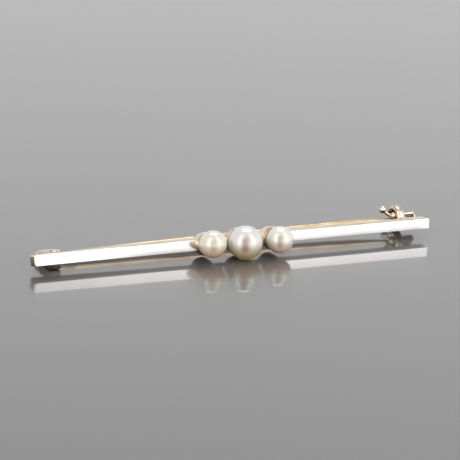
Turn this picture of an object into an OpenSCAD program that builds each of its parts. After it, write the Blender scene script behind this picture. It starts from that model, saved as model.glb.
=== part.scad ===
/* [Bar] */
// Length of the bar
bar_l = 64.2; // [60:0.1:70]
// Height of the bar's front face
bar_h = 1.55; // [1.3:0.05:1.8]
// Depth of the bar from front to back
bar_d = 1.7; // [1.4:0.1:2]
// Height of the middle of the bar above the surface it lies on
bar_z = 2.02; // [1.95:0.01:2.1]
// Rise of the bar towards its right end, in degrees
bar_rise = 0.385; // [0:0.005:0.5]
// Rise of the bar's middle above a straight line through its ends
bar_bow = 0.15; // [0:0.01:0.3]
// Roll of the front face upwards at the left end, in degrees
roll_left = 15.8; // [4:0.1:16]
// Roll of the front face upwards along the rest of the bar, in degrees
roll_right = 3.2; // [0:0.1:6]
// Length of the twisted part at the left end
twist_l = 17; // [10:0.5:30]

/* [Pearls] */
// Diameter of the centre pearl
pearl_big = 5.0; // [4.8:0.05:5.1]
// Diameter of the side pearls
pearl_small = 4.0; // [3.5:0.05:4.2]
// Distance between neighbouring pearls along the bar
pearl_pitch = 5.35; // [5:0.05:6]
// Depth of the side cups from lip to back
cup_small = 2.9; // [2:0.1:3.2]
// Depth of the centre cup from lip to back
cup_big = 2.4; // [2:0.1:3]

/* [Pin] */
// Diameter of the pin's stem
stem_d = 1.06; // [0.9:0.02:1.1]
// Distance from the middle of the bar back to the pin
pin_back = 4.45; // [4.3:0.05:4.6]
// Height of the hinge above the surface it lies on
hinge_h = 1.6; // [1.5:0.05:1.7]

/* [Catch] */
// Outer diameter of the catch housing
housing_d = 3.84; // [3.7:0.02:4]
// Outer diameter of the turning sleeve
sleeve_d = 1.6; // [1.5:0.02:1.7]
// Diameter of the ball at the end of each lever
ball_d = 1.05; // [0.8:0.05:1.2]

/* [Hidden] */
$fn = 64;
eps = 0.01;

// The origin is under the middle of the whole brooch, this far from the middle of the bar
mid_x = 0.175;
mid_y = 0.56;

white_gold = "whitesmoke";
champagne = "wheat";
yellow_gold = "goldenrod";
pearl_white = "seashell";

// The bar is swept from stations along its length, and its edges are arcs
edge_r = 0.12;
end_r = 0.25;
arc_steps = 3;
end_steps = 4;
arm_step = 4;
half_l = bar_l / 2;
roll_table = [[-half_l, roll_left], [-half_l + twist_l, roll_right], [half_l, roll_right]];

// The pearls sit in front of the bar, each cup pointing at its pearl
seat_gap = 0.03;
peg_r = 0.4;
peg_gap = 0.04;
peg_l = 1.9;
lip_wall = 0.17;
lip_ratio = 0.8;
taper_small = 0.06;
taper_big = 0.16;

// The centre pearl touches the surface that the brooch lies on
centre_x = -0.25;
centre_front = 3.01;
centre_lift = asin((pearl_big / 2 - bar_z - centre_x * tan(bar_rise)) / centre_front);

// Columns: place along the bar, distance in front of it, lift angle, pearl diameter, cup depth, cup taper
LEFT = [-pearl_pitch, 2.78, 14.0, pearl_small, cup_small, taper_small];
CENTRE = [centre_x, centre_front, centre_lift, pearl_big, cup_big, taper_big];
RIGHT = [pearl_pitch, 3.07, 8.2, pearl_small, cup_small, taper_small];

// The hinge is a plate folded round at its left end, with the pin's eye in the fold
hinge_x = -27;
plate_t = 0.38;
plate_w = 2;
fold_x = -29.55;
fold_wall = 0.9;
run_gap = 0.03;
rivet_r = 0.32;
rivet_fit = 0.012;
rivet_head_r = 0.58;
rivet_head_h = 0.13;
hinge_foot_w = 1.7;
hinge_foot_h = 1.3;
hinge_foot_z = 0.15;

// The pin runs from the eye to a point inside the sleeve
eye_r = 0.95;
eye_t = hinge_h - 2 * plate_t - 2 * run_gap;
eye_z = hinge_h / 2;
root_l = 1.25;
mouth_x = 28.65;
mouth_r = 0.22;
tip_r = 0.05;
stem_n = 32;

// The stem bows away from the bar. Columns: place along the bar, distance behind it, height, radius
STEM = [
    [hinge_x + root_l, pin_back + 0.04, eye_z + 0.02, stem_d / 2],
    [-20.5, pin_back + 0.28, 0.95, stem_d / 2],
    [-13, pin_back + 0.58, 1.07, stem_d / 2],
    [-4, pin_back + 0.72, 1.19, stem_d / 2],
    [8, pin_back + 0.71, 1.35, stem_d / 2],
    [18, pin_back + 0.58, 1.5, stem_d / 2],
    [22, pin_back + 0.48, 1.58, stem_d / 2],
    [mouth_x, pin_back + 0.26, 1.72, mouth_r],
    [31.9, pin_back + 0.2, 1.79, tip_r]
];

// The catch housing touches the surface, and the sleeve's axis is a little below its middle
housing_x = 29;
housing_l = 1;
housing_y = 4.75;
housing_z = housing_d / 2;
sleeve_y = 4.7;
sleeve_z = 1.86;
journal_r = 1.3;
journal_gap = 0.04;
journal_x = 29.2;
journal_l = 0.6;
sleeve_l = 3.8;
sleeve_bore_r = 0.5;
slot_w = 0.96;
mouth_w = 1.2;
rim_r = 0.3;
post_w = 0.9;
post_h = 1.2;
lever_r = 0.24;
lever_root = 0.7;
lever_lean = 10;

// Columns: side of the sleeve, reach of the ball from the axis, reach to the left of the sleeve
UPPER_LEVER = [1, 1.6, 1.4];
LOWER_LEVER = [-1, 1.35, 1.2];

module in_frame() {
    translate([-mid_x, -mid_y, 0])
        children();
}

function roll_at(x) = lookup(x, roll_table);
function rise_at(x) = x * tan(bar_rise);
function bow_at(x) = bar_bow * (1 - pow(x / half_l, 2));

// Quarter arcs of one rounded section, in the plane across the bar
function section(d, h, r) = [
    for (corner = [0:3], k = [0:arc_steps])
        let (
            a = corner * 90 + k * 90 / arc_steps,
            sy = (corner == 0 || corner == 3) ? 1 : -1,
            sz = corner < 2 ? 1 : -1
        )
        [sy * (d / 2 - r) + r * cos(a), sz * (h / 2 - r) + r * sin(a)]
];

function placed(x, pts) = [
    for (p = pts)
        let (t = roll_at(x))
        [x, p[0] * cos(t) + p[1] * sin(t), p[1] * cos(t) - p[0] * sin(t) + bow_at(x)]
];

// Stations: the rounded left end, the arms, the rounded right end
end_arc = [for (k = [0:end_steps]) let (a = k * 90 / end_steps) [end_r * (1 - cos(a)), end_r * (1 - sin(a))]];
middle = [for (x = [-half_l + arm_step:arm_step:half_l - arm_step]) [x, 0]];
stations = concat(
    [for (e = end_arc) [-half_l + e[0], e[1]]],
    middle,
    [for (k = [end_steps:-1:0]) [half_l - end_arc[k][0], end_arc[k][1]]]
);

// A closed skin over rings of points, each ring with the same number of them
module skin(points, ring_n) {
    last = len(points) / ring_n - 1;
    sides = [
        for (i = [0:last - 1], j = [0:ring_n - 1])
            let (a = i * ring_n + j, b = i * ring_n + (j + 1) % ring_n)
            each [[a, a + ring_n, b], [b, a + ring_n, b + ring_n]]
    ];
    caps = [
        [for (j = [0:ring_n - 1]) j],
        [for (j = [ring_n - 1:-1:0]) last * ring_n + j]
    ];
    polyhedron(points, concat(sides, caps));
}

module swept_bar() {
    points = [for (s = stations) each placed(s[0], section(bar_d - 2 * s[1], bar_h - 2 * s[1], edge_r))];
    skin(points, 4 * (arc_steps + 1));
}

// Moves a shape built along +Z to a cup's place, pointing forwards and up at its pearl
module at_pearl(place) {
    translate([place[0], 0, bar_z + rise_at(place[0])])
        rotate([90 - place[2], 0, 0])
            translate([0, 0, place[1]])
                children();
}

// Room for a pearl in the bar's front, where the pearl sits deeper than the front face
module seat(place) {
    at_pearl(place)
        sphere(r = place[3] / 2 + seat_gap, $fn = 96);
}

module cup(place) {
    r = place[3] / 2;
    seat_r = r + seat_gap;
    lip_in = r * lip_ratio;
    lip_z = -sqrt(seat_r * seat_r - lip_in * lip_in);
    lip_out = lip_in + lip_wall;
    taper = place[5];
    at_pearl(place) {
        difference() {
            rotate_extrude()
                polygon([
                    [0, lip_z - place[4]],
                    [lip_out * (1 - 2 * taper), lip_z - place[4]],
                    [lip_out * (1 - taper / 2), lip_z - place[4] / 2],
                    [lip_out, lip_z],
                    [0, lip_z]
                ]);
            sphere(r = seat_r, $fn = 96);
        }
        translate([0, 0, -seat_r - 0.3])
            cylinder(r = peg_r, h = peg_l + 0.3, $fn = 32);
    }
}

module pearl(place) {
    r = place[3] / 2;
    color(pearl_white)
        at_pearl(place)
            difference() {
                sphere(r = r, $fn = 96);
                translate([0, 0, -r - eps])
                    cylinder(r = peg_r + peg_gap, h = peg_l + peg_gap + eps - seat_gap, $fn = 32);
            }
}

// Fold seen from the front: two plates joined by a round end, open to the right
module fold_profile() {
    r = hinge_h / 2;
    difference() {
        union() {
            translate([fold_x + r, r])
                circle(r = r);
            translate([fold_x + r, 0])
                square([hinge_x - fold_x - r + eye_r + 0.2, hinge_h]);
        }
        translate([fold_x + fold_wall, plate_t])
            square([bar_l, hinge_h - 2 * plate_t]);
    }
}

module hinge_bracket() {
    difference() {
        intersection() {
            translate([0, pin_back + plate_w / 2, 0])
                rotate([90, 0, 0])
                    linear_extrude(plate_w)
                        fold_profile();
            union() {
                translate([hinge_x, pin_back, -eps])
                    cylinder(r = plate_w / 2, h = hinge_h + 2 * eps);
                translate([fold_x - 1, pin_back - plate_w, -eps])
                    cube([hinge_x - fold_x + 1, 2 * plate_w, hinge_h + 2 * eps]);
            }
        }
        translate([hinge_x, pin_back, -1])
            cylinder(r = rivet_r + rivet_fit, h = hinge_h + 2, $fn = 48);
        translate([hinge_x, pin_back, -eps])
            cylinder(r = rivet_head_r + run_gap, h = rivet_head_h + eps, $fn = 48);
    }
    translate([fold_x + 0.25, bar_d / 2 - 0.4, hinge_foot_z])
        cube([hinge_foot_w, pin_back - plate_w / 2 - bar_d / 2 + 0.5, hinge_foot_h]);
}

// Disc with rounded rims, its back face on the plane X = 0
module rounded_disc(r, l, rim) {
    rotate([0, 90, 0])
        rotate_extrude() {
            translate([0, rim])
                square([r, l - 2 * rim]);
            square([r - rim, l]);
            for (z = [rim, l - rim])
                translate([r - rim, z])
                    circle(r = rim, $fn = 32);
        }
}

module catch_housing() {
    difference() {
        union() {
            translate([housing_x, housing_y, housing_z])
                rounded_disc(housing_d / 2, housing_l, rim_r);
            translate([housing_x + 0.1, bar_d / 2 - 0.3, bar_z + rise_at(housing_x) - post_h / 2])
                cube([post_w, housing_y - housing_d / 2 - bar_d / 2 + 0.7, post_h]);
        }
        translate([housing_x - 1, sleeve_y, sleeve_z])
            rotate([0, 90, 0])
                cylinder(r = journal_r + journal_gap, h = housing_l + 2);
        translate([housing_x - 1, sleeve_y, sleeve_z - mouth_w / 2])
            cube([housing_l + 2, housing_d, mouth_w]);
    }
}

module bar() {
    in_frame() {
        color(white_gold)
            difference() {
                translate([0, 0, bar_z])
                    rotate([0, -bar_rise, 0])
                        swept_bar();
                seat(LEFT);
                seat(CENTRE);
            }
        color(champagne) {
            cup(LEFT);
            cup(CENTRE);
            cup(RIGHT);
            hinge_bracket();
            catch_housing();
        }
    }
}

module pearl_left() {
    in_frame() pearl(LEFT);
}

module pearl_centre() {
    in_frame() pearl(CENTRE);
}

module pearl_right() {
    in_frame() pearl(RIGHT);
}

module stem() {
    skin([
        for (s = STEM, k = [0:stem_n - 1])
            let (a = k * 360 / stem_n)
            [s[0], s[1] + s[3] * cos(a), s[2] + s[3] * sin(a)]
    ], stem_n);
}

module pin_stem() {
    color(yellow_gold)
        in_frame() difference() {
            union() {
                translate([hinge_x, pin_back, eye_z - eye_t / 2])
                    cylinder(r = eye_r, h = eye_t);
                translate([hinge_x, pin_back - stem_d / 2, eye_z - eye_t / 2])
                    cube([root_l + 0.3, stem_d, eye_t]);
                stem();
            }
            translate([hinge_x, pin_back, -1])
                cylinder(r = rivet_r + run_gap, h = hinge_h + 2, $fn = 48);
        }
}

module hinge_rivet() {
    color(champagne)
        in_frame() translate([hinge_x, pin_back, 0]) {
            cylinder(r = rivet_head_r, h = rivet_head_h, $fn = 48);
            cylinder(r = rivet_r, h = hinge_h + rivet_head_h, $fn = 48);
            translate([0, 0, hinge_h + seat_gap / 3])
                cylinder(r = rivet_head_r, h = rivet_head_h, $fn = 48);
        }
}

// A rod from the sleeve's wall, out and to the left, turned in one piece with the ball at its end
module lever(place) {
    side = place[0];
    rod_x = place[2] + lever_r;
    rod_z = place[1] - lever_root;
    rod_l = norm([rod_x, rod_z]);
    rotate([-lever_lean, 0, 0])
        translate([lever_r, 0, side * lever_root])
            rotate([0, side * atan2(rod_z, rod_x) - 90, 0])
                rotate_extrude($fn = 48) {
                    square([lever_r, rod_l]);
                    translate([0, rod_l])
                        intersection() {
                            circle(r = ball_d / 2, $fn = 48);
                            translate([0, -ball_d])
                                square([ball_d, 2 * ball_d]);
                        }
                }
}

module catch_sleeve() {
    color(yellow_gold)
        in_frame() translate([mouth_x, sleeve_y, sleeve_z])
            difference() {
                union() {
                    rotate([0, 90, 0])
                        cylinder(r = sleeve_d / 2, h = sleeve_l);
                    translate([journal_x - mouth_x, 0, 0])
                        rotate([0, 90, 0])
                            cylinder(r = journal_r, h = journal_l);
                    lever(UPPER_LEVER);
                    lever(LOWER_LEVER);
                }
                translate([-eps, 0, 0])
                    rotate([0, 90, 0])
                        cylinder(r = sleeve_bore_r, h = sleeve_l + 2 * eps, $fn = 48);
                translate([-eps, 0, -slot_w / 2])
                    cube([sleeve_l + 2 * eps, 2 * journal_r, slot_w]);
            }
}

bar();
pearl_left();
pearl_centre();
pearl_right();
pin_stem();
hinge_rivet();
catch_sleeve();
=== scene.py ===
import math

import bmesh
import bpy
from mathutils import Matrix, Vector


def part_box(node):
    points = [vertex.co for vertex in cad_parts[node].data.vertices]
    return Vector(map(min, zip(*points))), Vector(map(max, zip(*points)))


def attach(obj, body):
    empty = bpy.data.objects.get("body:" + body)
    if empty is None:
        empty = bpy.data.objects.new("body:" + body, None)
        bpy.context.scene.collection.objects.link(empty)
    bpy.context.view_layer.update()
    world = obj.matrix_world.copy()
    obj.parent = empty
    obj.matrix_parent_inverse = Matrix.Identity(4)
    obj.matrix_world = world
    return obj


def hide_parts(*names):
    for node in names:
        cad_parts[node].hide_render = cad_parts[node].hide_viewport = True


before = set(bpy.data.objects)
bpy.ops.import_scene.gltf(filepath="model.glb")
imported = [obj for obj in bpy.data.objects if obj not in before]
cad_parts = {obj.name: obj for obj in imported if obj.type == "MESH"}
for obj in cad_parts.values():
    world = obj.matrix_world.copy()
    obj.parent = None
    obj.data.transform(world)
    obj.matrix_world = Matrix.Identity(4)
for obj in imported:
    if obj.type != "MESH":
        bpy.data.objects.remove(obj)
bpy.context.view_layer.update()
print("frame loaded:", sorted(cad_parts))

mm = 0.001
brooch = {  # the origin as seen from the bar's middle, and the bar's axis: its height there and its rise
    "originX": 0.175, "originY": 0.56, "barZ": 2.02, "riseDeg": 0.385,
}


def spot(x, y, z):  # millimetres from under the bar's middle, to metres in the frame
    return Vector(((x - brooch["originX"]) * mm, (y - brooch["originY"]) * mm, z * mm))


def axisHeight(x):  # height of the bar's axis, in mm
    return brooch["barZ"] + x * math.tan(math.radians(brooch["riseDeg"]))


# camera: low, from the front left, with a long lens

view = {
    "place": (-155.854, -297.688, 94.638),
    "forward": (0.44466, 0.85664, -0.26162),
    "rollDeg": 2.6522,
    "lens": 187.83,
    "sensor": 36,
    "near": 0.01,
}


def addCamera():
    ahead = Vector(view["forward"]).normalized()
    right = ahead.cross(Vector((0, 0, 1))).normalized()
    up = right.cross(ahead)
    roll = math.radians(view["rollDeg"])
    camX = right * math.cos(roll) + up * math.sin(roll)
    camY = up * math.cos(roll) - right * math.sin(roll)
    bpy.ops.object.camera_add(location=spot(*view["place"]))
    camera = bpy.context.object
    camera.name = "camera"
    camera.rotation_euler = Matrix((camX, camY, -ahead)).transposed().to_euler()
    camera.data.lens = view["lens"]
    camera.data.sensor_width = view["sensor"]
    camera.data.clip_start = view["near"]
    bpy.context.scene.camera = camera


addCamera()
print("camera placed")


# small helpers for modelling

touch = 1e-6  # points nearer than this are one point
sliver = 1e-7  # how near a cut may pass to a point


def pickNothing():
    if bpy.context.mode != "OBJECT":
        bpy.ops.object.mode_set(mode="OBJECT")
    bpy.ops.object.select_all(action="DESELECT")


def pickOnly(piece):
    pickNothing()
    piece.select_set(True)
    bpy.context.view_layer.objects.active = piece


def openForEdit(piece, kind="VERT"):
    pickOnly(piece)
    bpy.ops.object.mode_set(mode="EDIT")
    bpy.ops.mesh.select_mode(type=kind)


def selectWhere(piece, kind, test):  # in edit mode, by place or normal
    mesh = bmesh.from_edit_mesh(piece.data)
    bpy.ops.mesh.select_all(action="DESELECT")
    for part in {"VERT": mesh.verts, "EDGE": mesh.edges, "FACE": mesh.faces}[kind]:
        if test(part):
            part.select_set(True)
    mesh.select_flush_mode()
    bmesh.update_edit_mesh(piece.data)


def cleanMesh():  # in edit mode
    bpy.ops.mesh.select_all(action="SELECT")
    bpy.ops.mesh.remove_doubles(threshold=touch)
    bpy.ops.mesh.normals_make_consistent(inside=False)


def settle(piece, place=None, aim=None):  # turned and moved into place, then applied
    pickOnly(piece)
    if aim is not None:
        piece.rotation_mode = "QUATERNION"
        piece.rotation_quaternion = Vector(aim).to_track_quat("Z", "Y")
    if place is not None:
        piece.location = place
    bpy.ops.object.transform_apply(location=True, rotation=True, scale=True)
    return piece


def smooth(piece, angle):
    pickOnly(piece)
    bpy.ops.object.shade_smooth_by_angle(angle=math.radians(angle))


def softenEdges(piece, width, segments=3):
    pickOnly(piece)
    bevel = piece.modifiers.new("softEdges", "BEVEL")
    bevel.width = width * mm
    bevel.segments = segments
    bevel.limit_method = "ANGLE"
    bevel.angle_limit = math.radians(30)
    bpy.ops.object.modifier_apply(modifier=bevel.name)


def combine(piece, tool, how):  # "UNION" or "DIFFERENCE"; the tool is used up
    pickOnly(piece)
    step = piece.modifiers.new(how.lower(), "BOOLEAN")
    step.operation = how
    step.solver = "EXACT"
    step.object = tool
    bpy.ops.object.modifier_apply(modifier=step.name)
    bpy.data.objects.remove(tool)
    return piece


def arc(centreR, centreH, radius, fromDeg, toDeg, count):  # part of an outline
    turns = [math.radians(fromDeg + (toDeg - fromDeg) * i / count) for i in range(count + 1)]
    return [(centreR + radius * math.cos(turn), centreH + radius * math.sin(turn)) for turn in turns]


def turned(name, outline, steps, place, aim):
    # an outline of (radius, height) drawn point by point and spun round, as on a lathe
    pickNothing()
    bpy.ops.mesh.primitive_plane_add(size=mm)
    piece = bpy.context.object
    piece.name = name
    openForEdit(piece)
    bpy.ops.mesh.select_all(action="SELECT")
    bpy.ops.mesh.merge(type="CENTER")
    bpy.ops.transform.translate(value=(outline[0][0] * mm, 0, outline[0][1] * mm))
    for here, there in zip(outline, outline[1:]):
        move = ((there[0] - here[0]) * mm, 0, (there[1] - here[1]) * mm)
        bpy.ops.mesh.extrude_vertices_move(TRANSFORM_OT_translate={"value": move})
    bpy.ops.mesh.select_all(action="SELECT")
    bpy.ops.mesh.spin(steps=steps, angle=2 * math.pi, center=(0, 0, 0), axis=(0, 0, 1))
    cleanMesh()
    return settle(piece, place, aim)


def ballAt(place, radius, segments, rings):  # place and radius in metres
    pickNothing()
    bpy.ops.mesh.primitive_uv_sphere_add(segments=segments, ring_count=rings, radius=radius, location=place)
    return bpy.context.object


def diskAt(x, y, low, high, radius, corners):  # an upright cylinder, in mm
    pickNothing()
    bpy.ops.mesh.primitive_cylinder_add(
        vertices=corners, radius=radius * mm, depth=(high - low) * mm, location=spot(x, y, (low + high) / 2)
    )
    return settle(bpy.context.object)


def block(name, low, high):  # a box between two corners, in mm
    pickNothing()
    middle = [(a + b) / 2 for a, b in zip(low, high)]
    bpy.ops.mesh.primitive_cube_add(size=1, location=spot(*middle))
    piece = bpy.context.object
    piece.name = name
    piece.scale = [(b - a) * mm for a, b in zip(low, high)]
    return settle(piece)


def finish(piece, body, nodes, materials):
    piece.data.materials.clear()
    for material in materials:
        piece.data.materials.append(material)
    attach(piece, body)
    if nodes:
        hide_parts(*nodes)
    print("made", piece.name, len(piece.data.polygons), "faces")


# materials

def newMaterial(name):
    material = bpy.data.materials.new(name)
    material.use_nodes = True
    return material, material.node_tree.nodes, material.node_tree.links


def noiseOn(nodes, links, stretch, scale, detail, rough=0.5):
    place = nodes.new("ShaderNodeTexCoord")
    mapping = nodes.new("ShaderNodeMapping")
    mapping.inputs["Scale"].default_value = stretch
    noise = nodes.new("ShaderNodeTexNoise")
    noise.inputs["Scale"].default_value = scale
    noise.inputs["Detail"].default_value = detail
    noise.inputs["Roughness"].default_value = rough
    links.new(place.outputs["Object"], mapping.inputs["Vector"])
    links.new(mapping.outputs["Vector"], noise.inputs["Vector"])
    return noise.outputs["Fac"]


def spread(nodes, links, value, low, high, outLow, outHigh):  # a soft step from outLow to outHigh
    reach = nodes.new("ShaderNodeMapRange")
    reach.interpolation_type = "SMOOTHSTEP"
    ends = {"From Min": low, "From Max": high, "To Min": outLow, "To Max": outHigh}
    for socket, number in ends.items():
        reach.inputs[socket].default_value = number
    links.new(value, reach.inputs["Value"])
    return reach.outputs["Result"]


def mathOn(nodes, links, how, *values):  # each value is a socket or a number
    step = nodes.new("ShaderNodeMath")
    step.operation = how
    for socket, value in zip(step.inputs, values):
        if isinstance(value, bpy.types.NodeSocket):
            links.new(value, socket)
        else:
            socket.default_value = value
    return step.outputs["Value"]


def mixColours(nodes, links, share, first, second):
    mix = nodes.new("ShaderNodeMix")
    mix.data_type = "RGBA"
    links.new(share, mix.inputs["Factor"])
    for socket, colour in ((mix.inputs["A"], first), (mix.inputs["B"], second)):
        if isinstance(colour, bpy.types.NodeSocket):
            links.new(colour, socket)
        else:
            socket.default_value = (*colour, 1)
    return mix.outputs["Result"]


def addBump(nodes, links, shader, height, strength, deep):
    bump = nodes.new("ShaderNodeBump")
    bump.inputs["Strength"].default_value = strength
    bump.inputs["Distance"].default_value = deep
    links.new(height, bump.inputs["Height"])
    links.new(bump.outputs["Normal"], shader.inputs["Normal"])


goldLooks = {  # under: the upward tilts of a surface between which it turns to painted shade, as dark as an underside
    "whiteGoldFront": {
        "tint": (0.87, 0.845, 0.825), "shade": (0.82, 0.79, 0.765), "under": (-0.5, -0.1),
        "rough": (0.12, 0.24), "grain": 5200, "stretch": (0.35, 1, 1), "bump": 0.05, "scratch": 0.5,
    },
    "champagneGold": {
        "tint": (0.86, 0.77, 0.64), "shade": (0.78, 0.66, 0.50), "under": (-0.4, 0.0),
        "rough": (0.12, 0.26), "grain": 4200, "stretch": (0.3, 1, 1), "bump": 0.05, "scratch": 0.4,
    },
    # the bar's ends: a painted reflection of a dark floor, darker than the rest
    "paintedDarkEnd": {
        "tint": (0.36, 0.31, 0.25), "shade": (0.26, 0.21, 0.16), "under": (-0.5, -0.1),
        "rough": (0.2, 0.36), "grain": 4200, "stretch": (1, 1, 1), "bump": 0.06, "scratch": 0.2,
    },
    "hingeGold": {
        "tint": (0.88, 0.79, 0.66), "shade": (0.76, 0.63, 0.47), "under": (0.05, 0.5),
        "rough": (0.16, 0.3), "grain": 3600, "stretch": (1, 1, 1), "bump": 0.07, "scratch": 0.3,
    },
    "cupGold": {
        "tint": (0.95, 0.81, 0.60), "shade": (0.62, 0.42, 0.25), "under": (-0.7, 0.2),
        "rough": (0.14, 0.26), "grain": 1900, "stretch": (1, 1, 1), "bump": 0.04, "scratch": 0.1,
    },
    "catchGold": {
        "tint": (0.95, 0.86, 0.72), "shade": (0.80, 0.61, 0.42), "under": (-0.4, 0.1),
        "rough": (0.1, 0.22), "grain": 3400, "stretch": (1, 1, 1), "bump": 0.05, "scratch": 0.3,
    },
    # the sleeve's tube: the catch gold with painted shade on all but its top, for where it lies in the bar's
    # shade
    "shadedTubeGold": {
        "tint": (0.93, 0.80, 0.62), "shade": (0.80, 0.61, 0.40), "under": (0.66, 0.88),
        "rough": (0.1, 0.2), "grain": 3400, "stretch": (0.3, 1, 1), "bump": 0.05, "scratch": 0.3,
    },
    "yellowGold": {
        "tint": (0.90, 0.72, 0.46), "shade": (0.70, 0.48, 0.26), "under": (-0.4, 0.0),
        "rough": (0.08, 0.22), "grain": 3000, "stretch": (0.12, 1, 1), "bump": 0.06, "scratch": 0.4,
    },
}
# the metal's own tone patches, grain and hairlines, and the painted shade (dark) that faces turn to as they
# face down
goldWearAndShade = {
    "dark": (0.07, 0.045, 0.026), "paintedShadeShare": 0.93,
    "patchScale": 420, "patchDetail": 3, "patchRange": (0.38, 0.72),  # slow changes of tone, about 2 mm long
    "grainDetail": 5, "grainRough": 0.62, "grainRange": (0.3, 0.7),
    "scratchScale": 9000, "scratchDetail": 2,  # hairlines
    "scratchStretch": (0.04, 1, 1), "scratchRange": (0.6, 0.72),
    "bumpDeep": 0.00006,
}


def goldMaterial(name):
    look, wearAndShade = goldLooks[name], goldWearAndShade
    material, nodes, links = newMaterial(name)
    shader = nodes["Principled BSDF"]
    shader.inputs["Metallic"].default_value = 1
    patches = noiseOn(nodes, links, (1, 1, 1), wearAndShade["patchScale"], wearAndShade["patchDetail"])
    tone = spread(nodes, links, patches, *wearAndShade["patchRange"], 0, 1)
    metal = mixColours(nodes, links, tone, look["tint"], look["shade"])
    # painted shade: the colour turns dark as the face turns down
    place = nodes.new("ShaderNodeTexCoord")
    facing = nodes.new("ShaderNodeSeparateXYZ")
    links.new(place.outputs["Normal"], facing.inputs["Vector"])
    paintedShadeShare = spread(nodes, links, facing.outputs["Z"], *look["under"], wearAndShade["paintedShadeShare"], 0)
    links.new(mixColours(nodes, links, paintedShadeShare, metal, wearAndShade["dark"]), shader.inputs["Base Color"])
    grain = noiseOn(nodes, links, look["stretch"], look["grain"], wearAndShade["grainDetail"], wearAndShade["grainRough"])
    links.new(spread(nodes, links, grain, *wearAndShade["grainRange"], *look["rough"]), shader.inputs["Roughness"])
    scratches = noiseOn(nodes, links, wearAndShade["scratchStretch"], wearAndShade["scratchScale"], wearAndShade["scratchDetail"])
    lines = spread(nodes, links, scratches, *wearAndShade["scratchRange"], 0, look["scratch"])
    height = mathOn(nodes, links, "SUBTRACT", grain, lines)
    addBump(nodes, links, shader, height, look["bump"], wearAndShade["bumpDeep"])
    return material


# band: a painted reflection, the darker tinted gap between the two highlights, painted on the side that faces
# the view
pearlLooks = {
    "pearlLeft": {
        "top": (0.85, 0.80, 0.71), "foot": (0.92, 0.62, 0.42), "tint": (0.9, 0.87, 0.81),
        "band": (0.54, 0.50, 0.36), "bandAt": 0.05, "bandShare": 0.75,
    },
    "pearlCentre": {
        "top": (0.83, 0.81, 0.78), "foot": (0.64, 0.46, 0.14), "tint": (0.88, 0.86, 0.83),
        "band": (0.38, 0.19, 0.15), "bandAt": -0.02, "bandShare": 0.9,
    },
    "pearlRight": {
        "top": (0.86, 0.85, 0.77), "foot": (0.94, 0.60, 0.48), "tint": (0.89, 0.885, 0.84),
        "band": (0.37, 0.37, 0.30), "bandAt": -0.02, "bandShare": 0.8,
    },
}
nacre = {  # reaches are from -1 to 1 across the pearl, turned so that Y runs along the view
    "turnDeg": -27.4, "topReach": (-0.75, 0.3),
    "bandReach": (0.04, 0.36), "frontReach": (-0.7, -0.2), "bandTop": (0.25, 0.85), "bandFoot": (-0.5, -0.05),
    "footShare": 0.15,  # what is left of the band at the foot
    "cloudScale": 900, "cloudDetail": 3, "cloudRange": (0.35, 0.7), "cloudShare": 0.12,
    "grain": 2600, "grainDetail": 3, "bump": 0.04, "bumpDeep": 0.00005,
}
nacreShader = {
    "Metallic": 0.15, "Roughness": 0.15,  # a little metal for the strong lustre
    "Subsurface Weight": 0.5, "Subsurface Radius": (1.0, 0.8, 0.6), "Subsurface Scale": 0.0012,
    "Specular IOR Level": 0.7, "Coat Weight": 1, "Coat Roughness": 0.12, "Coat IOR": 1.6,
    "Sheen Weight": 0.25, "Sheen Roughness": 0.4, "Thin Film Thickness": 380, "Thin Film IOR": 1.55,
}


def pearlMaterial(name, centre, radius):
    look = pearlLooks[name]
    material, nodes, links = newMaterial(name + "Nacre")
    shader = nodes["Principled BSDF"]
    place = nodes.new("ShaderNodeTexCoord")
    mapping = nodes.new("ShaderNodeMapping")
    mapping.vector_type = "TEXTURE"
    mapping.inputs["Location"].default_value = centre
    mapping.inputs["Rotation"].default_value = (0, 0, math.radians(nacre["turnDeg"]))
    mapping.inputs["Scale"].default_value = (radius, radius, radius)
    links.new(place.outputs["Object"], mapping.inputs["Vector"])
    parts = nodes.new("ShaderNodeSeparateXYZ")
    links.new(mapping.outputs["Vector"], parts.inputs["Vector"])
    across, along, height = (parts.outputs[axis] for axis in "XYZ")
    lift = spread(nodes, links, height, *nacre["topReach"], 0, 1)
    body = mixColours(nodes, links, lift, look["foot"], look["top"])
    # the band is a painted reflection: darker and tinted, down the side facing the view between the two
    # highlights
    away = mathOn(nodes, links, "ABSOLUTE", mathOn(nodes, links, "SUBTRACT", across, look["bandAt"]))
    band = spread(nodes, links, away, *nacre["bandReach"], look["bandShare"], 0)
    for axis, reach, low, high in (  # the band fades to the sides, the back, the top and the foot
        (along, "frontReach", 1, 0),
        (height, "bandTop", 1, 0),
        (height, "bandFoot", nacre["footShare"], 1),
    ):
        band = mathOn(nodes, links, "MULTIPLY", band, spread(nodes, links, axis, *nacre[reach], low, high))
    banded = mixColours(nodes, links, band, body, look["band"])
    clouds = noiseOn(nodes, links, (1, 1, 1), nacre["cloudScale"], nacre["cloudDetail"])
    cloudShare = spread(nodes, links, clouds, *nacre["cloudRange"], 0, nacre["cloudShare"])
    links.new(mixColours(nodes, links, cloudShare, banded, look["tint"]), shader.inputs["Base Color"])
    for socket, value in nacreShader.items():
        shader.inputs[socket].default_value = value
    grain = noiseOn(nodes, links, (1, 1, 1), nacre["grain"], nacre["grainDetail"])
    addBump(nodes, links, shader, grain, nacre["bump"], nacre["bumpDeep"])
    return material


golds = {name: goldMaterial(name) for name in goldLooks}
print("gold materials ready")


# the bar: square, its front leaning back a little, and more towards the left end

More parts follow.
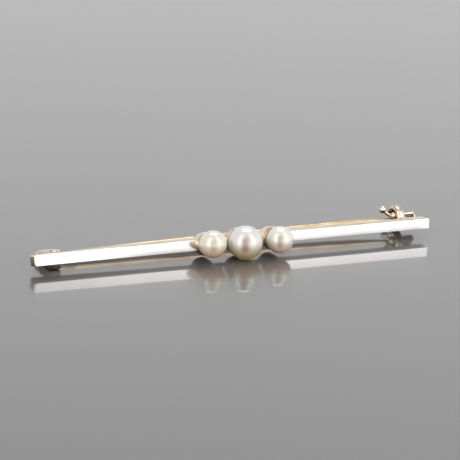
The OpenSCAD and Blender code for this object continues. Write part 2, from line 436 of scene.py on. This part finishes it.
barShape = {
    "length": 64.2, "height": 1.6, "depth": 1.7, "drop": 0.03, "bow": 0.15, "station": 1.6,
    "rollLeft": 15.8, "rollRight": 3.2, "twistTo": -15.1,
    "edge": 0.11, "lowEdge": 0.05, "wornEdge": 0.24, "wornFrom": 3, "wornTo": 27,
    "rightEnd": 0.6, "leftEnd": 0.34, "endUpright": 0.2,
}


def rollAt(x):  # degrees that the front face leans back
    left = -barShape["length"] / 2
    share = min(1, (x - left) / (barShape["twistTo"] - left))
    return barShape["rollLeft"] + (barShape["rollRight"] - barShape["rollLeft"]) * share


def makeBar():
    half = barShape["length"] / 2
    near = 0.1 * mm
    pickNothing()
    bpy.ops.mesh.primitive_cube_add(size=1, location=(0, 0, 0))
    bar = bpy.context.object
    bar.name = "barBody"
    bar.scale = (barShape["length"] * mm, barShape["depth"] * mm, barShape["height"] * mm)
    settle(bar)
    openForEdit(bar)
    count = round(barShape["length"] / barShape["station"])
    stations = [-half + barShape["length"] * i / count for i in range(count + 1)]
    for x in stations[1:-1]:
        bpy.ops.mesh.select_all(action="SELECT")
        bpy.ops.mesh.bisect(plane_co=(x * mm, 0, 0), plane_no=(1, 0, 0), threshold=sliver)
    for x in stations:
        selectWhere(bar, "VERT", lambda v: abs(v.co.x - x * mm) < near)
        roll = math.radians(rollAt(x))
        bpy.ops.transform.rotate(value=roll, orient_axis="X", center_override=(x * mm, 0, 0))
        bpy.ops.transform.translate(value=(0, 0, barShape["bow"] * (1 - (x / half) ** 2) * mm))
    bpy.ops.mesh.select_mode(type="EDGE")
    long = lambda e: abs(e.verts[0].co.x - e.verts[1].co.x) > near
    atEnd = lambda e: not long(e) and abs(e.verts[0].co.x) > half * mm - near
    flat = lambda e: abs(e.verts[0].co.y - e.verts[1].co.y) > barShape["depth"] * mm / 2
    front = lambda e: long(e) and e.verts[0].co.y < 0
    upper = lambda e: e.verts[0].co.z > 0
    worn = lambda e: barShape["wornFrom"] * mm < e.verts[0].co.x < barShape["wornTo"] * mm
    for name, test in (  # how round each edge is
        ("edge", lambda e: long(e) and not front(e)),
        ("edge", lambda e: front(e) and upper(e) and not worn(e)),
        ("wornEdge", lambda e: front(e) and upper(e) and worn(e)),
        ("lowEdge", lambda e: front(e) and not upper(e)),
        ("rightEnd", lambda e: atEnd(e) and flat(e) and e.verts[0].co.x > 0),
        ("leftEnd", lambda e: atEnd(e) and flat(e) and e.verts[0].co.x < 0),
        ("endUpright", lambda e: atEnd(e) and not flat(e)),
    ):
        selectWhere(bar, "EDGE", test)
        bpy.ops.transform.edge_bevelweight(value=barShape[name] / barShape["rightEnd"])
    bpy.ops.object.mode_set(mode="OBJECT")
    bevel = bar.modifiers.new("roundEdges", "BEVEL")
    bevel.limit_method = "WEIGHT"
    bevel.width = barShape["rightEnd"] * mm
    bevel.segments = 4
    bpy.ops.object.modifier_apply(modifier=bevel.name)
    bar.rotation_euler = (0, -math.radians(brooch["riseDeg"]), 0)
    return settle(bar, spot(0, 0, brooch["barZ"] - barShape["drop"]))


bar = makeBar()


# the pearls and their cups

cupShape = {
    "seatGap": 0.03, "seatDeep": 0.35, "lipRatio": 0.8, "lipWall": 0.17, "lipEdge": 0.05,
    "lipFlare": 0.08, "flareFoot": 0.6, "flareDeep": 0.12, "backEdge": 0.16,
    "flank": (0.62, 0.5, 0.25), "pinch": 0.97, "shoulder": 0.6,  # shares of the cup's depth and radii
}
pearlShape = {"segments": 96, "rings": 56, "drillAt": 0.975, "drillRim": 0.06, "drillDeep": 1.6, "sunk": 0.03}
pearlSets = {
    "Left": {"node": "pearl_left", "x": -5.35, "depth": 2.9, "taper": 0.06},
    "Centre": {"node": "pearl_centre", "x": -0.25, "depth": 2.4, "taper": 0.16},
    "Right": {"node": "pearl_right", "x": 5.35, "depth": 2.9, "taper": 0.06},
}


def pearlPlace(side):
    low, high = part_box(pearlSets[side]["node"])
    return (low + high) / 2, (high.z - low.z) / 2


def cupAim(side):
    x = pearlSets[side]["x"]
    return (pearlPlace(side)[0] - spot(x, 0, axisHeight(x))).normalized()


def makeCup(side):
    c = cupShape
    centre, radius = pearlPlace(side)
    r = radius / mm
    seat = r + c["seatGap"]
    lipIn = r * c["lipRatio"]
    lipZ = -math.sqrt(seat * seat - lipIn * lipIn)
    lipOut = lipIn + c["lipWall"]
    depth, taper = pearlSets[side]["depth"], pearlSets[side]["taper"]
    back = lipOut * (1 - 2 * taper)
    waist = lipOut * (1 - taper / 2)
    low, middle, high = (lipZ - depth * share for share in c["flank"])
    soft, lip, flare = c["backEdge"], c["lipEdge"], c["lipFlare"]
    seatDeg = math.degrees(math.atan2(lipZ - c["seatDeep"], lipIn))
    outline = [(0, lipZ - depth)]
    outline += arc(back - soft, lipZ - depth + soft, soft, -90, -15, 4)
    outline += [(waist * c["pinch"], low), (waist, middle), (waist + (lipOut - waist) * c["shoulder"], high)]
    outline += arc(lipOut - lip, lipZ - lip, lip, 0, 90, 3)
    outline += [(lipIn + flare, lipZ), (lipIn + flare * c["flareFoot"], lipZ - c["flareDeep"])]
    outline += arc(0, 0, seat, seatDeg, -90, 6)
    cup = turned("cup" + side, outline, 72, centre, cupAim(side))
    smooth(cup, 40)
    return cup


def makePearl(side):
    p = pearlShape
    centre, radius = pearlPlace(side)
    pearl = ballAt((0, 0, 0), radius, p["segments"], p["rings"])
    pearl.name = "pearl" + side
    openForEdit(pearl, "FACE")
    selectWhere(pearl, "FACE", lambda f: f.calc_center_median().z < -radius * p["drillAt"])
    bpy.ops.mesh.inset(thickness=p["drillRim"] * mm)
    bpy.ops.mesh.extrude_region_move(TRANSFORM_OT_translate={"value": (0, 0, p["drillDeep"] * mm)})
    bpy.ops.object.mode_set(mode="OBJECT")
    settle(pearl, centre, cupAim(side))
    smooth(pearl, 50)
    return pearl


cups = {side: makeCup(side) for side in pearlSets}
pearls = {side: makePearl(side) for side in pearlSets}
for side in ("Left", "Centre"):  # the pearls sit a little into the bar's front
    centre, radius = pearlPlace(side)
    combine(bar, ballAt(centre, radius + pearlShape["sunk"] * mm, 48, 24), "DIFFERENCE")
smooth(bar, 30)


# the hinge: a strip folded round at its left end, with a rivet through it

hingeShape = {
    "x": -27, "y": 4.45, "height": 1.6, "plate": 0.38, "width": 2, "foldX": -29.55,
    "footLow": (-29.3, 0.45, 0.15), "footHigh": (-27.6, 3.95, 1.45), "edge": 0.07,
    "rivetR": 0.32, "rivetGap": 0.012, "flatHeadH": 0.13, "recess": 0.61, "seamGap": 0.01,
    "flatHead": [(0, 0), (0.53, 0), (0.58, 0.04), (0.58, 0.11)],  # radius and height
    "domedHead": [(0.56, 0), (0.58, 0.03), (0.5, 0.08), (0.3, 0.118), (0, 0.128)],  # height above the plates
}


def makeHinge():
    h = hingeShape
    r = h["width"] / 2
    middle = h["height"] / 2
    bend = h["foldX"] + middle
    cut = spot(h["x"], 0, 0).x
    atCut = lambda f: abs(f.normal.x) > 0.99 and abs(f.calc_center_median().x - cut) < 0.01 * mm
    hinge = diskAt(h["x"], h["y"], h["height"] - h["plate"], h["height"], r, 64)
    hinge.name = "hingeBracket"
    openForEdit(hinge, "FACE")
    bpy.ops.mesh.select_all(action="SELECT")
    bpy.ops.mesh.bisect(
        plane_co=(cut, 0, 0), plane_no=(-1, 0, 0), clear_outer=True, use_fill=True, threshold=sliver
    )
    down = (0, 0, (h["plate"] - h["height"]) * mm)
    bpy.ops.mesh.select_all(action="SELECT")  # the same round end again for the lower plate
    bpy.ops.mesh.duplicate_move(TRANSFORM_OT_translate={"value": down})
    selectWhere(hinge, "FACE", lambda f: atCut(f) and f.calc_center_median().z > middle * mm)
    bpy.ops.mesh.extrude_region_move(TRANSFORM_OT_translate={"value": ((bend - h["x"]) * mm, 0, 0)})
    bpy.ops.mesh.spin(steps=14, angle=math.pi, center=spot(bend, h["y"], middle), axis=(0, 1, 0))
    bpy.ops.mesh.extrude_region_move(TRANSFORM_OT_translate={"value": ((h["x"] - bend) * mm, 0, 0)})
    selectWhere(hinge, "FACE", atCut)
    bpy.ops.mesh.delete(type="ONLY_FACE")
    cleanMesh()
    bpy.ops.object.mode_set(mode="OBJECT")
    for radius, low, high in ((h["rivetR"] + h["rivetGap"], -1, 3), (h["recess"], -0.5, h["flatHeadH"])):
        combine(hinge, diskAt(h["x"], h["y"], low, high, radius, 50), "DIFFERENCE")
    combine(hinge, block("foot", h["footLow"], h["footHigh"]), "UNION")
    softenEdges(hinge, h["edge"])
    smooth(hinge, 35)
    return hinge


def makeRivet():
    h = hingeShape
    top = h["height"] + h["seamGap"]
    shank = [(h["rivetR"], h["flatHeadH"] - h["seamGap"]), (h["rivetR"], top)]
    outline = h["flatHead"] + shank + [(radius, top + height) for radius, height in h["domedHead"]]
    rivet = turned("hingeRivet", outline, 48, spot(h["x"], h["y"], 0), (0, 0, 1))
    smooth(rivet, 40)
    return rivet


hinge = makeHinge()
rivet = makeRivet()


# the pin: an eye on the rivet, a squared root and a long tapering stem

pinShape = {
    "eyeR": 0.95, "eyeH": 0.78, "eyeEdge": 0.06, "holeR": 0.35, "holeEdge": 0.03,
    "rootL": 1.25, "rootFrom": 0.55, "rootPast": 0.35, "rootHalf": 0.47, "rootEdge": 0.12, "stemR": 0.53,
    "rings": 4, "ringFrom": 0.3, "ringStep": 0.32, "ringDeep": 0.06, "ringHalf": 0.09,
}
stemWay = [  # place along the bar, distance behind it, height, radius
    (-25.75, 4.49, 0.82, 0.53), (-23, 4.63, 0.89, 0.53), (-20.5, 4.73, 0.95, 0.53), (-17, 4.89, 1.01, 0.53),
    (-13, 5.03, 1.07, 0.53), (-9, 5.12, 1.13, 0.53), (-4, 5.17, 1.19, 0.53), (2, 5.18, 1.27, 0.53),
    (8, 5.16, 1.35, 0.53), (14, 5.1, 1.43, 0.53), (18, 5.03, 1.5, 0.53), (21.5, 4.94, 1.57, 0.52),
    (23.5, 4.89, 1.61, 0.46), (26, 4.81, 1.66, 0.34), (28.65, 4.71, 1.72, 0.22), (31.8, 4.65, 1.79, 0.06),
    (31.9, 4.65, 1.79, 0.03),
]


def stemAt(x):  # the bowed stem's distance behind the bar and height, in mm
    for here, there in zip(stemWay, stemWay[1:]):
        if x <= there[0]:
            share = (x - here[0]) / (there[0] - here[0])
            return here[1] + (there[1] - here[1]) * share, here[2] + (there[2] - here[2]) * share
    return stemWay[-1][1:3]


def makePin():
    p, h = pinShape, hingeShape
    middle = h["height"] / 2
    low, high, soft = -p["eyeH"] / 2, p["eyeH"] / 2, p["eyeEdge"]
    hole, holeEdge, rim = p["holeR"], p["holeEdge"], p["eyeR"] - soft
    outline = [(hole, low + holeEdge), (hole + holeEdge, low), (rim, low)]
    outline += arc(rim, low + soft, soft, -60, 0, 2) + arc(rim, high - soft, soft, 0, 90, 3)
    outline += [(hole + holeEdge, high), (hole, high - holeEdge), (hole, low + holeEdge)]
    pin = turned("pinStem", outline, 64, spot(h["x"], h["y"], middle), (0, 0, 1))
    root = block(
        "root",
        (h["x"] + p["rootFrom"], h["y"] - p["rootHalf"], middle + low),
        (h["x"] + p["rootL"] + p["rootPast"], h["y"] + p["rootHalf"], middle + high),
    )
    softenEdges(root, p["rootEdge"], 4)
    combine(pin, root, "UNION")
    start, radius, half = p["rootL"], p["stemR"], p["ringHalf"]
    stem = [(0, start), (radius - soft, start), (radius, start + soft)]
    for ring in range(p["rings"]):  # turned rings near the root
        x = start + p["ringFrom"] + ring * p["ringStep"]
        stem += [(radius, x - half), (radius - p["ringDeep"], x), (radius, x + half)]
    stem += [(point[3], point[0] - h["x"]) for point in stemWay[1:]]
    stem += [(0, stemWay[-1][0] - h["x"])]
    rod = turned("stem", stem, 48, spot(h["x"], h["y"], middle), (1, 0, 0))
    openForEdit(rod)
    for along in sorted({point[1] for point in stem}):  # each round of points moved to its place on the bow
        x = h["x"] + along
        back, height = stemAt(x)
        selectWhere(rod, "VERT", lambda v: abs(v.co.x - spot(x, 0, 0).x) < 0.01 * mm)
        bpy.ops.transform.translate(value=(0, (back - h["y"]) * mm, (height - middle) * mm))
    bpy.ops.object.mode_set(mode="OBJECT")
    combine(pin, rod, "UNION")
    smooth(pin, 35)
    return pin


pin = makePin()


# the catch: an open ring on a post, and a slotted sleeve that turns in it

catchShape = {
    "ringX": 28.8, "ringY": 4.75, "ringZ": 1.92, "ringR": 1.92, "ringL": 1.3, "rim": 0.46, "innerRim": 0.1,
    "boreY": 4.7, "boreZ": 1.86, "boreR": 1.34, "boreReach": 1.05, "mouthLow": -0.75, "mouthHigh": 0.2,
    "postLow": (29.1, 0.55, 1.35), "postHigh": (30, 3.3, 2.5), "postEdge": 0.16,
    "noseX": 28.65, "tubeR": 0.8, "tubeL": 3.8, "tubeBore": 0.5, "tubeThin": 0.035, "slot": 0.96,
    "lip": 0.09, "lipStart": (3.6, 2.8),  # the tube widens again to its rolled lip, in radii of the lip
    "journalR": 1.3, "journalFrom": 0.9, "journalTo": 1.15, "noseEdge": 0.13, "boreEdge": 0.06, "edge": 0.05,
    "ballR": 0.55, "armR": 0.29, "sag": 0.22, "leanDeg": 10,
    "levers": [(1, 1.44, 1.45), (-1, 1.3, 1.2)],  # side, reach of the ball from the axis, reach to the left
    "hubAt": (-0.14, -0.7, 0.5), "hubSize": (0.46, 0.48, 0.64),
    "shadeFrom": 1.3, "shadeTo": 3.58,  # where the tube lies in the shade of the bar; there it gets painted shade on all but its top
}


def makeRing():
    c = catchShape
    rim, inner, length = c["rim"], c["innerRim"], c["ringL"]
    outline = arc(c["boreR"] + inner, inner, inner, 180, 270, 3)
    outline += arc(c["ringR"] - rim, rim, rim, -90, 0, 6) + arc(c["ringR"] - rim, length - rim, rim, 0, 90, 6)
    outline += arc(c["boreR"] + inner, length - inner, inner, 90, 180, 3)
    outline += [outline[0]]
    ring = turned("catchRing", outline, 96, spot(c["ringX"], c["ringY"], c["ringZ"]), (1, 0, 0))
    openForEdit(ring)
    centre = spot(0, c["ringY"], c["ringZ"])
    offset = (0, (c["boreY"] - c["ringY"]) * mm, (c["boreZ"] - c["ringZ"]) * mm)  # of the bore from the rim
    reach = (c["boreR"] + inner * c["boreReach"]) * mm
    selectWhere(ring, "VERT", lambda v: (v.co - centre).yz.length < reach)
    bpy.ops.transform.translate(value=offset)
    post = block("post", c["postLow"], c["postHigh"])
    softenEdges(post, c["postEdge"], 4)
    combine(ring, post, "UNION")
    mouth = block(
        "mouth",
        (c["ringX"] - 1, c["boreY"], c["boreZ"] + c["mouthLow"]),
        (c["ringX"] + 3, 9, c["boreZ"] + c["mouthHigh"]),
    )
    combine(ring, mouth, "DIFFERENCE")
    smooth(ring, 40)
    return ring


def makeArm(side, reach, left):
    # a bent wire from the hub on the nose, out to the left and up or down to its ball
    c = catchShape
    lean = Matrix.Rotation(-math.radians(c["leanDeg"]), 3, "X")
    nose = spot(c["noseX"], c["boreY"], c["boreZ"])
    ball = lean @ Vector((-left, 0, side * reach))
    root = Vector(c["hubAt"])
    root.z *= side
    middle = root.lerp(ball, 0.5) - Vector((0, 0, c["sag"] * side))
    pickNothing()
    bpy.ops.curve.primitive_nurbs_path_add()
    arm = bpy.context.object
    spline = arm.data.splines[0]
    way = (root, root.lerp(middle, 0.6), middle, middle.lerp(ball, 0.5), ball)
    for point, place in zip(spline.points, way):
        point.co = (*(nose + place * mm), 1)
    spline.order_u = 4
    spline.use_endpoint_u = True
    arm.data.bevel_depth = c["armR"] * mm
    arm.data.bevel_resolution = 6
    arm.data.resolution_u = 8
    arm.data.use_fill_caps = True
    pickOnly(arm)
    bpy.ops.object.convert(target="MESH")
    arm = bpy.context.object
    openForEdit(arm)
    cleanMesh()
    combine(arm, settle(ballAt(nose + ball * mm, c["ballR"] * mm, 48, 28)), "UNION")
    hub = ballAt(nose + root * mm, mm, 46, 26)
    hub.scale = c["hubSize"]
    return combine(arm, settle(hub), "UNION")


def makeSleeve():
    c = catchShape
    radius, bore, length, thin = c["tubeR"], c["tubeBore"], c["tubeL"], c["tubeR"] - c["tubeThin"]
    lip, lipStart, soft, boreEdge, noseEdge = c["lip"], c["lipStart"], c["edge"], c["boreEdge"], c["noseEdge"]
    journal, start, end = c["journalR"], c["journalFrom"], c["journalTo"]
    place = spot(c["noseX"], c["boreY"], c["boreZ"])
    outline = [(bore, length - soft), (bore, boreEdge)]
    outline += arc(bore + boreEdge, boreEdge, boreEdge, 180, 270, 2)
    outline += arc(radius - noseEdge, noseEdge, noseEdge, -90, 0, 4)
    outline += [(radius, start), (journal - soft, start), (journal, start + soft)]
    outline += [(journal, end - soft), (journal - soft, end), (thin, end)]
    outline += [(thin, length - lipStart[0] * lip), (radius, length - lipStart[1] * lip)]
    outline += arc(radius - lip, length - lip, lip, 0, 90, 4)
    outline += [(bore + soft, length), (bore, length - soft)]
    sleeve = turned("catchSleeve", outline, 72, place, (1, 0, 0))
    for lever in c["levers"]:
        combine(sleeve, makeArm(*lever), "UNION")
    wide = bore + 0.01  # just wider than the bore, which the levers' roots may have filled
    hole = turned("hole", [(0, -1), (wide, -1), (wide, 1.5), (0, 1.5)], 60, place, (1, 0, 0))
    combine(sleeve, hole, "DIFFERENCE")
    slot = block(
        "slot",
        (c["noseX"] - 1, c["boreY"], c["boreZ"] - c["slot"] / 2),
        (c["noseX"] + 6, 8, c["boreZ"] + c["slot"] / 2),
    )
    combine(sleeve, slot, "DIFFERENCE")
    openForEdit(sleeve)
    bpy.ops.mesh.select_all(action="SELECT")
    bpy.ops.mesh.dissolve_degenerate(threshold=2 * touch)
    cleanMesh()
    bpy.ops.object.mode_set(mode="OBJECT")
    smooth(sleeve, 40)
    return sleeve


ring = makeRing()
sleeve = makeSleeve()
print("metal parts modelled")


# looks and bodies

squarely = 0.9  # how far a face's normal points along an axis


def giveFaces(piece, index, test):  # another of the piece's materials for some of its faces
    openForEdit(piece, "FACE")
    selectWhere(piece, "FACE", test)
    piece.active_material_index = index
    bpy.ops.object.material_slot_assign()
    pickNothing()


barGolds = [golds[name] for name in ("champagneGold", "whiteGoldFront", "paintedDarkEnd")]
finish(bar, "brooch", ["bar"], barGolds)
giveFaces(bar, 1, lambda f: f.normal.y < -squarely)  # the plated front
giveFaces(bar, 2, lambda f: abs(f.normal.x) > squarely)  # the ends, painted darker: a painted reflection of a dark floor
for side, cup in cups.items():
    finish(cup, "brooch", [], [golds["cupGold"]])
for side, pearl in pearls.items():
    material = pearlMaterial(pearl.name, *pearlPlace(side))
    finish(pearl, "brooch", [pearlSets[side]["node"]], [material])
finish(hinge, "brooch", [], [golds["hingeGold"]])
finish(rivet, "brooch", ["hinge_rivet"], [golds["hingeGold"]])
finish(ring, "brooch", [], [golds["catchGold"]])
finish(pin, "pin", ["pin_stem"], [golds["yellowGold"]])
finish(sleeve, "catch", ["catch_sleeve"], [golds["catchGold"], golds["shadedTubeGold"]])
# the tube's faces in the bar's shade get the gold with painted shade
shade = [spot(catchShape["noseX"] + catchShape[key], 0, 0).x for key in ("shadeFrom", "shadeTo")]
giveFaces(sleeve, 1, lambda f: shade[0] < f.calc_center_median().x < shade[1])


# pale glossy floor and soft studio light

floorLook = {
    "size": 8, "colour": (0.125, 0.125, 0.123), "rough": 0.3, "coat": 1, "coatRough": 0.03, "coatIor": 1.6,
}
softBoxes = {
    "boxRight": {"fromDeg": 32, "liftDeg": 33, "far": 0.9, "wide": 0.42, "tall": 1.1, "power": 1.6},
    "boxLeft": {"fromDeg": -68, "liftDeg": 33, "far": 0.9, "wide": 0.52, "tall": 1.1, "power": 2.1},
    "boxOver": {"fromDeg": 150, "liftDeg": 68, "far": 0.9, "wide": 0.6, "tall": 0.5, "power": 2.0},
}
skyLook = {  # darker overhead, and brighter on the camera's side of the room
    "level": (0.61, 0.61, 0.61), "high": (0.3, 0.3, 0.305), "highReach": (0.05, 0.8),
    "strength": 1.35, "front": 1.75, "frontReach": (-0.6, 0.3),
}


def addFloor():
    pickNothing()
    bpy.ops.mesh.primitive_plane_add(size=floorLook["size"], location=(0, 0, 0))
    floor = bpy.context.object
    floor.name = "floor"
    material, nodes, links = newMaterial("paleFloor")
    shader = nodes["Principled BSDF"]
    shader.inputs["Base Color"].default_value = (*floorLook["colour"], 1)
    shader.inputs["Roughness"].default_value = floorLook["rough"]
    shader.inputs["Coat Weight"].default_value = floorLook["coat"]
    shader.inputs["Coat Roughness"].default_value = floorLook["coatRough"]
    shader.inputs["Coat IOR"].default_value = floorLook["coatIor"]
    floor.data.materials.append(material)


def addSoftBox(name, box):
    turn, lift = math.radians(box["fromDeg"]), math.radians(box["liftDeg"])
    back = Vector((math.sin(turn) * math.cos(lift), -math.cos(turn) * math.cos(lift), math.sin(lift)))
    bpy.ops.object.light_add(type="AREA", location=back * box["far"])
    light = bpy.context.object
    light.name = name
    light.rotation_euler = back.to_track_quat("Z", "Y").to_euler()
    light.data.shape = "RECTANGLE"
    light.data.size = box["wide"]
    light.data.size_y = box["tall"]
    light.data.energy = box["power"]


def addSky():
    world = bpy.data.worlds.new("studio")
    bpy.context.scene.world = world
    world.use_nodes = True
    nodes, links = world.node_tree.nodes, world.node_tree.links
    strong = skyLook["strength"]
    place = nodes.new("ShaderNodeTexCoord")
    parts = nodes.new("ShaderNodeSeparateXYZ")
    links.new(place.outputs["Generated"], parts.inputs["Vector"])
    lift = spread(nodes, links, parts.outputs["Z"], *skyLook["highReach"], 0, 1)
    colour = mixColours(nodes, links, lift, skyLook["level"], skyLook["high"])
    links.new(colour, nodes["Background"].inputs["Color"])
    front = strong * skyLook["front"]
    power = spread(nodes, links, parts.outputs["Y"], *skyLook["frontReach"], front, strong)
    links.new(power, nodes["Background"].inputs["Strength"])


bpy.context.scene.view_settings.view_transform = "Standard"
addFloor()
for name, box in softBoxes.items():
    addSoftBox(name, box)
addSky()
print("floor and lights placed")
